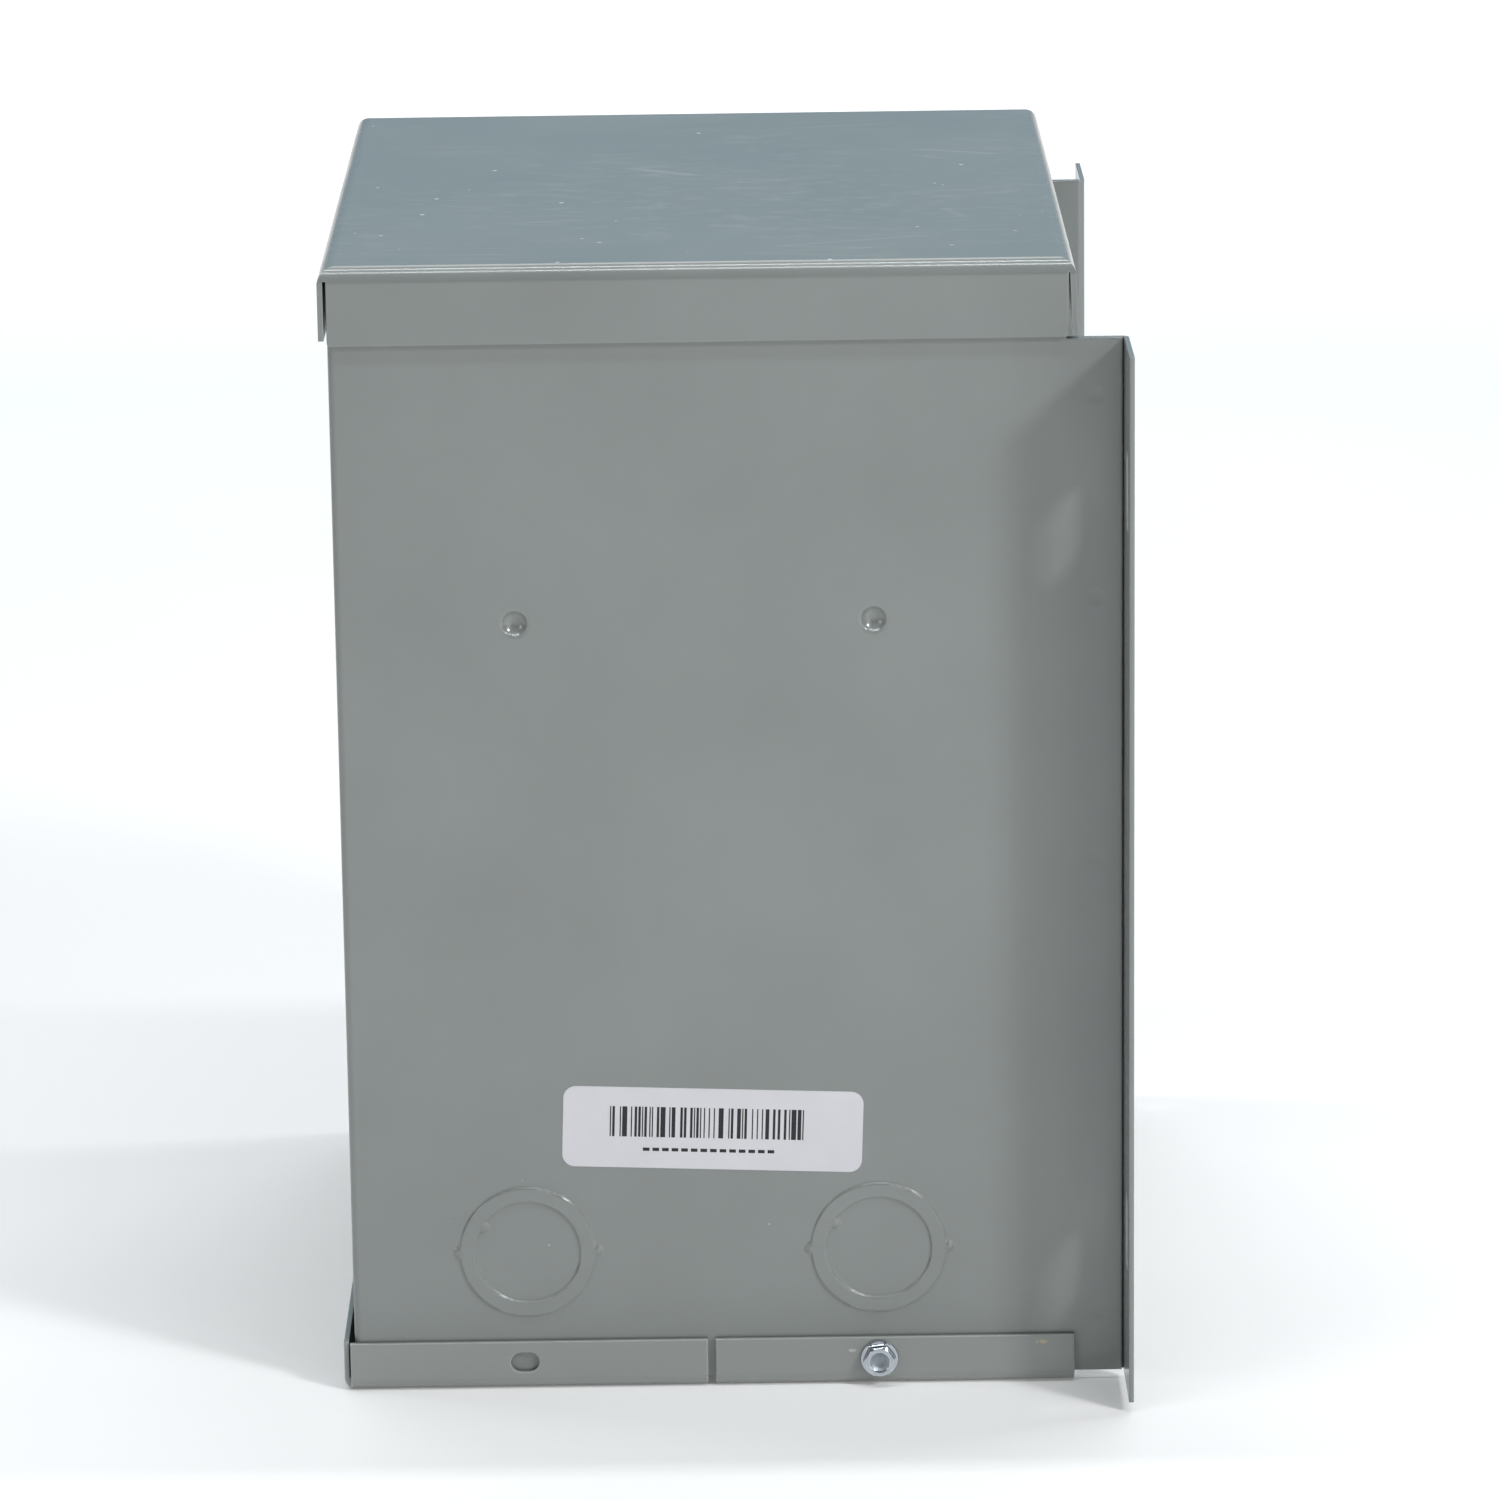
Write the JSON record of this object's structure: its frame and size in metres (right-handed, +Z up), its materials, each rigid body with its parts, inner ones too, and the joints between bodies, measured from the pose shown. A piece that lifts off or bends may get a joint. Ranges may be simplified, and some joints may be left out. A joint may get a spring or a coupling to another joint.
{
  "type": "encapsulated transformer",
  "caption": "Wall-mounted encapsulated dry-type transformer in a grey steel case with a slip-on lid, a screwed bottom wiring cover, side knockouts and slotted rear ears.",
  "frame": {"origin": "middle of the overall footprint, on the surface that the bottom cover stands on", "axes": "+Z up, -Y towards the front panel, +Y towards the wall, +X towards the side that carries the bar-code sticker"},
  "size_m": [0.2306, 0.1728, 0.2516],
  "materials": {
    "enclosure_paint": "satin powder paint, grey-green, fine orange peel",
    "screw_zinc": "bright zinc plate with a faint blue cast",
    "ground_green": "green dyed zinc plate",
    "label_paper": "white matt label film",
    "rating_film": "satin silver label film",
    "core_steel": "varnished silicon steel laminations",
    "clamp_steel": "black lacquered steel",
    "plated_steel": "zinc plate",
    "former_plastic": "natural glass-filled nylon",
    "winding_copper": "enamelled copper wire",
    "barrier_paper": "aramid insulation paper",
    "coil_tape": "yellow polyester tape",
    "lead_black": "black cross-linked insulation",
    "lead_red": "red cross-linked insulation",
    "bare_copper": "bare tinned copper strands",
    "cast_resin": "sand-filled polyester resin, matt and gritty"
  },
  "bodies": {
    "enclosure": {"body_shell": "enclosure_paint", "back_panel": "enclosure_paint", "top_lid": "enclosure_paint", "bottom_cover": "enclosure_paint", "barcode_label": "label_paper", "rating_label": "rating_film", "core_e_stack": "core_steel", "core_i_stack": "core_steel", "clamp_angle_upper_front": "clamp_steel", "clamp_angle_upper_rear": "clamp_steel", "clamp_angle_lower_front": "clamp_steel", "clamp_angle_lower_rear": "clamp_steel", "core_bolts": "plated_steel", "core_nuts": "plated_steel", "coil_former": "former_plastic", "primary_winding": "winding_copper", "winding_barrier": "barrier_paper", "secondary_winding": "winding_copper", "coil_wrap": "coil_tape", "lead_h1": "lead_black", "lead_h2": "lead_black", "lead_x1": "lead_red", "lead_x2": "lead_red", "lead_x3": "lead_red", "lead_x4": "lead_red", "lead_conductors": "bare_copper", "potting_compound": "cast_resin"},
    "cover_screw_right": {"cover_screw_right": "screw_zinc"},
    "cover_screw_left": {"cover_screw_left": "screw_zinc"},
    "ground_screw": {"ground_screw": "ground_green"}
  },
  "joints": [
    {"name": "cover_screw_right_travel", "type": "slide", "parent": "enclosure", "child": "cover_screw_right", "axis": [1, 0, 0], "range_m": [0, 0.0095]},
    {"name": "cover_screw_left_travel", "type": "slide", "parent": "enclosure", "child": "cover_screw_left", "axis": [-1, 0, 0], "range_m": [0, 0.0095]},
    {"name": "ground_screw_travel", "type": "slide", "parent": "enclosure", "child": "ground_screw", "axis": [0, -1, 0], "range_m": [0, 0.009]}
  ]
}
